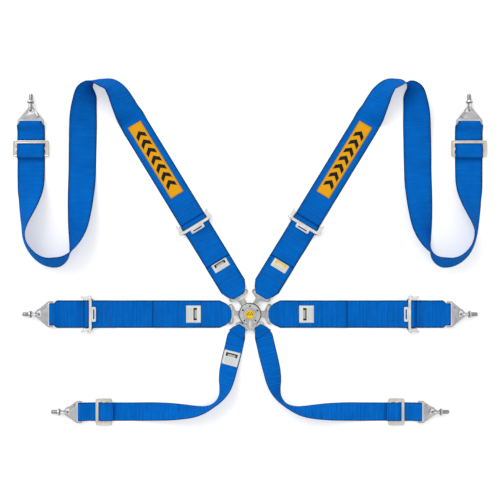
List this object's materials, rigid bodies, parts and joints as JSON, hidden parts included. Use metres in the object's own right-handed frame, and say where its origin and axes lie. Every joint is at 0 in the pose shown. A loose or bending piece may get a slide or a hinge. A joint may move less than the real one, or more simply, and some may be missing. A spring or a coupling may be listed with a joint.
{
  "type": "racing harness",
  "caption": "Six-point racing harness with central rotary-release buckle, tilt-lock adjusters, three-bar slides and snap-hook eyebolt anchors, laid out flat.",
  "frame": {"origin": "on the buckle's axis, on the flat back face of its back plate", "axes": "+X to the viewer's right along the lap straps, +Y towards the shoulder anchors, +Z out of the front of the buckle"},
  "size_m": [1.292, 0.9456, 0.0754],
  "materials": {
    "webbing": "woven polyester, ribbed, slight sheen",
    "patch": "woven patch, matt",
    "cast_alloy": "cast and tumbled, satin",
    "plated_steel": "pressed steel, satin nickel plating",
    "badge": "smooth moulded cap",
    "spring_steel": "drawn wire"
  },
  "bodies": {
    "buckle": {"buckle_base": "cast_alloy", "buckle_cover": "cast_alloy", "rotor_spring": "spring_steel", "shoulder_tongue_left": "cast_alloy", "shoulder_tongue_right": "cast_alloy", "lap_tongue_left": "cast_alloy", "lap_tongue_right": "cast_alloy", "leg_tongue_left": "cast_alloy", "leg_tongue_right": "cast_alloy"},
    "rotor": {"release_rotor": "cast_alloy", "rotor_badge": "badge"},
    "lock_pins": {"lift_plate": "plated_steel", "lock_pin_1": "plated_steel", "lock_pin_2": "plated_steel", "lock_pin_3": "plated_steel", "lock_pin_4": "plated_steel", "lock_pin_5": "plated_steel", "lock_pin_6": "plated_steel"},
    "shoulder_strap_lower_left": {"shoulder_strap_lower_left": "webbing"},
    "shoulder_adjuster_left": {"shoulder_adjuster_frame_left": "plated_steel"},
    "shoulder_lock_bar_left": {"shoulder_lock_bar_left": "plated_steel"},
    "shoulder_strap_upper_left": {"shoulder_strap_upper_left": "webbing", "shoulder_patch_left": "patch", "shoulder_slide_left": "plated_steel"},
    "shoulder_anchor_left": {"shoulder_anchor_plate_left": "plated_steel"},
    "shoulder_latch_left": {"shoulder_latch_left": "plated_steel"},
    "shoulder_eyebolt_left": {"shoulder_eyebolt_left": "plated_steel"},
    "lap_strap_inner_left": {"lap_strap_inner_left": "webbing"},
    "lap_adjuster_left": {"lap_adjuster_frame_left": "plated_steel"},
    "lap_lock_bar_left": {"lap_lock_bar_left": "plated_steel"},
    "lap_strap_outer_left": {"lap_strap_outer_left": "webbing"},
    "lap_anchor_left": {"lap_anchor_plate_left": "plated_steel"},
    "lap_latch_left": {"lap_latch_left": "plated_steel"},
    "lap_eyebolt_left": {"lap_eyebolt_left": "plated_steel"},
    "leg_strap_left": {"leg_strap_left": "webbing", "leg_slide_left": "plated_steel"},
    "leg_anchor_left": {"leg_anchor_plate_left": "plated_steel"},
    "leg_latch_left": {"leg_latch_left": "plated_steel"},
    "leg_eyebolt_left": {"leg_eyebolt_left": "plated_steel"},
    "shoulder_strap_lower_right": {"shoulder_strap_lower_right": "webbing"},
    "shoulder_adjuster_right": {"shoulder_adjuster_frame_right": "plated_steel"},
    "shoulder_lock_bar_right": {"shoulder_lock_bar_right": "plated_steel"},
    "shoulder_strap_upper_right": {"shoulder_strap_upper_right": "webbing", "shoulder_patch_right": "patch", "shoulder_slide_right": "plated_steel"},
    "shoulder_anchor_right": {"shoulder_anchor_plate_right": "plated_steel"},
    "shoulder_latch_right": {"shoulder_latch_right": "plated_steel"},
    "shoulder_eyebolt_right": {"shoulder_eyebolt_right": "plated_steel"},
    "lap_strap_inner_right": {"lap_strap_inner_right": "webbing"},
    "lap_adjuster_right": {"lap_adjuster_frame_right": "plated_steel"},
    "lap_lock_bar_right": {"lap_lock_bar_right": "plated_steel"},
    "lap_strap_outer_right": {"lap_strap_outer_right": "webbing"},
    "lap_anchor_right": {"lap_anchor_plate_right": "plated_steel"},
    "lap_latch_right": {"lap_latch_right": "plated_steel"},
    "lap_eyebolt_right": {"lap_eyebolt_right": "plated_steel"},
    "leg_strap_right": {"leg_strap_right": "webbing", "leg_slide_right": "plated_steel"},
    "leg_anchor_right": {"leg_anchor_plate_right": "plated_steel"},
    "leg_latch_right": {"leg_latch_right": "plated_steel"},
    "leg_eyebolt_right": {"leg_eyebolt_right": "plated_steel"}
  },
  "joints": [
    {"name": "rotor_turn", "type": "hinge", "parent": "buckle", "child": "rotor", "pos_m": [0, 0, 0.02], "axis": [0, 0, 1], "range_deg": [0, 60], "stiffness_Nm_per_rad": 0.05},
    {"name": "pins_lift", "type": "slide", "parent": "buckle", "child": "lock_pins", "axis": [0, 0, 1], "range_m": [0, 0.0036]},
    {"name": "shoulder_swing_left", "type": "hinge", "parent": "buckle", "child": "shoulder_strap_lower_left", "pos_m": [-0.03256, 0.05335, 0.0055], "axis": [0.8536, 0.521, 0], "range_deg": [0, 40]},
    {"name": "shoulder_tilt_left", "type": "hinge", "parent": "shoulder_strap_lower_left", "child": "shoulder_adjuster_left", "pos_m": [-0.14614, 0.23942, 0.0055], "axis": [-0.8536, -0.521, 0], "range_deg": [0, 25]},
    {"name": "shoulder_lock_slide_left", "type": "slide", "parent": "shoulder_adjuster_left", "child": "shoulder_lock_bar_left", "axis": [-0.521, 0.8536, 0], "range_m": [0, 0.003]},
    {"name": "shoulder_fold_left", "type": "hinge", "parent": "shoulder_lock_bar_left", "child": "shoulder_strap_upper_left", "pos_m": [-0.15266, 0.25009, 0.0092], "axis": [0.8536, 0.521, 0], "range_deg": [0, 20]},
    {"name": "lap_swing_left", "type": "hinge", "parent": "buckle", "child": "lap_strap_inner_left", "pos_m": [-0.0555, 0, 0.0055], "axis": [0, 1, 0], "range_deg": [0, 40]},
    {"name": "lap_tilt_left", "type": "hinge", "parent": "lap_strap_inner_left", "child": "lap_adjuster_left", "pos_m": [-0.432, 0, 0.0055], "axis": [0, -1, 0], "range_deg": [0, 25]},
    {"name": "lap_lock_slide_left", "type": "slide", "parent": "lap_adjuster_left", "child": "lap_lock_bar_left", "axis": [-1, 0, 0], "range_m": [0, 0.003]},
    {"name": "lap_fold_left", "type": "hinge", "parent": "lap_lock_bar_left", "child": "lap_strap_outer_left", "pos_m": [-0.4445, 0, 0.0092], "axis": [0, 1, 0], "range_deg": [0, 20]},
    {"name": "leg_swing_left", "type": "hinge", "parent": "buckle", "child": "leg_strap_left", "pos_m": [-0.02401, -0.03627, 0.0055], "axis": [-0.8339, 0.5519, 0], "range_deg": [0, 40]},
    {"name": "shoulder_hook_left", "type": "hinge", "parent": "shoulder_strap_upper_left", "child": "shoulder_anchor_left", "pos_m": [-0.597, 0.5215, 0.00965], "axis": [1, 0, 0], "range_deg": [0, 30]},
    {"name": "shoulder_latch_turn_left", "type": "hinge", "parent": "shoulder_anchor_left", "child": "shoulder_latch_left", "pos_m": [-0.5775, 0.539, 0.01115], "axis": [0, 0, 1], "range_deg": [0, 12], "stiffness_Nm_per_rad": 0.02, "springref_deg": -5.73},
    {"name": "shoulder_bolt_swing_left", "type": "hinge", "parent": "shoulder_anchor_left", "child": "shoulder_eyebolt_left", "pos_m": [-0.597, 0.564, 0.013], "axis": [1, 0, 0], "range_deg": [-40, 60]},
    {"name": "lap_hook_left", "type": "hinge", "parent": "lap_strap_outer_left", "child": "lap_anchor_left", "pos_m": [-0.5415, 0, 0.00965], "axis": [0, 1, 0], "range_deg": [0, 30]},
    {"name": "lap_latch_turn_left", "type": "hinge", "parent": "lap_anchor_left", "child": "lap_latch_left", "pos_m": [-0.559, 0.0195, 0.01115], "axis": [0, 0, 1], "range_deg": [0, 12], "stiffness_Nm_per_rad": 0.02, "springref_deg": -5.73},
    {"name": "lap_bolt_swing_left", "type": "hinge", "parent": "lap_anchor_left", "child": "lap_eyebolt_left", "pos_m": [-0.584, 0, 0.013], "axis": [0, 1, 0], "range_deg": [-40, 60]},
    {"name": "leg_hook_left", "type": "hinge", "parent": "leg_strap_left", "child": "leg_anchor_left", "pos_m": [-0.4635, -0.266, 0.00965], "axis": [0, 1, 0], "range_deg": [0, 30]},
    {"name": "leg_latch_turn_left", "type": "hinge", "parent": "leg_anchor_left", "child": "leg_latch_left", "pos_m": [-0.481, -0.24915, 0.01115], "axis": [0, 0, 1], "range_deg": [0, 12], "stiffness_Nm_per_rad": 0.02, "springref_deg": -5.73},
    {"name": "leg_bolt_swing_left", "type": "hinge", "parent": "leg_anchor_left", "child": "leg_eyebolt_left", "pos_m": [-0.506, -0.266, 0.013], "axis": [0, 1, 0], "range_deg": [-40, 60]},
    {"name": "shoulder_swing_right", "type": "hinge", "parent": "buckle", "child": "shoulder_strap_lower_right", "pos_m": [0.03256, 0.05335, 0.0055], "axis": [0.8536, -0.521, 0], "range_deg": [0, 40]},
    {"name": "shoulder_tilt_right", "type": "hinge", "parent": "shoulder_strap_lower_right", "child": "shoulder_adjuster_right", "pos_m": [0.14614, 0.23942, 0.0055], "axis": [-0.8536, 0.521, 0], "range_deg": [0, 25]},
    {"name": "shoulder_lock_slide_right", "type": "slide", "parent": "shoulder_adjuster_right", "child": "shoulder_lock_bar_right", "axis": [0.521, 0.8536, 0], "range_m": [0, 0.003]},
    {"name": "shoulder_fold_right", "type": "hinge", "parent": "shoulder_lock_bar_right", "child": "shoulder_strap_upper_right", "pos_m": [0.15266, 0.25009, 0.0092], "axis": [0.8536, -0.521, 0], "range_deg": [0, 20]},
    {"name": "lap_swing_right", "type": "hinge", "parent": "buckle", "child": "lap_strap_inner_right", "pos_m": [0.0555, 0, 0.0055], "axis": [0, -1, 0], "range_deg": [0, 40]},
    {"name": "lap_tilt_right", "type": "hinge", "parent": "lap_strap_inner_right", "child": "lap_adjuster_right", "pos_m": [0.432, 0, 0.0055], "axis": [0, 1, 0], "range_deg": [0, 25]},
    {"name": "lap_lock_slide_right", "type": "slide", "parent": "lap_adjuster_right", "child": "lap_lock_bar_right", "axis": [1, 0, 0], "range_m": [0, 0.003]},
    {"name": "lap_fold_right", "type": "hinge", "parent": "lap_lock_bar_right", "child": "lap_strap_outer_right", "pos_m": [0.4445, 0, 0.0092], "axis": [0, -1, 0], "range_deg": [0, 20]},
    {"name": "leg_swing_right", "type": "hinge", "parent": "buckle", "child": "leg_strap_right", "pos_m": [0.02401, -0.03627, 0.0055], "axis": [-0.8339, -0.5519, 0], "range_deg": [0, 40]},
    {"name": "shoulder_hook_right", "type": "hinge", "parent": "shoulder_strap_upper_right", "child": "shoulder_anchor_right", "pos_m": [0.597, 0.5215, 0.00965], "axis": [1, 0, 0], "range_deg": [0, 30]},
    {"name": "shoulder_latch_turn_right", "type": "hinge", "parent": "shoulder_anchor_right", "child": "shoulder_latch_right", "pos_m": [0.5775, 0.539, 0.01115], "axis": [0, 0, -1], "range_deg": [0, 12], "stiffness_Nm_per_rad": 0.02, "springref_deg": -5.73},
    {"name": "shoulder_bolt_swing_right", "type": "hinge", "parent": "shoulder_anchor_right", "child": "shoulder_eyebolt_right", "pos_m": [0.597, 0.564, 0.013], "axis": [1, 0, 0], "range_deg": [-40, 60]},
    {"name": "lap_hook_right", "type": "hinge", "parent": "lap_strap_outer_right", "child": "lap_anchor_right", "pos_m": [0.5415, 0, 0.00965], "axis": [0, -1, 0], "range_deg": [0, 30]},
    {"name": "lap_latch_turn_right", "type": "hinge", "parent": "lap_anchor_right", "child": "lap_latch_right", "pos_m": [0.559, 0.0195, 0.01115], "axis": [0, 0, -1], "range_deg": [0, 12], "stiffness_Nm_per_rad": 0.02, "springref_deg": -5.73},
    {"name": "lap_bolt_swing_right", "type": "hinge", "parent": "lap_anchor_right", "child": "lap_eyebolt_right", "pos_m": [0.584, 0, 0.013], "axis": [0, -1, 0], "range_deg": [-40, 60]},
    {"name": "leg_hook_right", "type": "hinge", "parent": "leg_strap_right", "child": "leg_anchor_right", "pos_m": [0.4635, -0.266, 0.00965], "axis": [0, -1, 0], "range_deg": [0, 30]},
    {"name": "leg_latch_turn_right", "type": "hinge", "parent": "leg_anchor_right", "child": "leg_latch_right", "pos_m": [0.481, -0.24915, 0.01115], "axis": [0, 0, -1], "range_deg": [0, 12], "stiffness_Nm_per_rad": 0.02, "springref_deg": -5.73},
    {"name": "leg_bolt_swing_right", "type": "hinge", "parent": "leg_anchor_right", "child": "leg_eyebolt_right", "pos_m": [0.506, -0.266, 0.013], "axis": [0, -1, 0], "range_deg": [-40, 60]}
  ],
  "couplings": [
    {"joint": "rotor_turn", "follows": "pins_lift", "rad_per_m": 290.89}
  ]
}
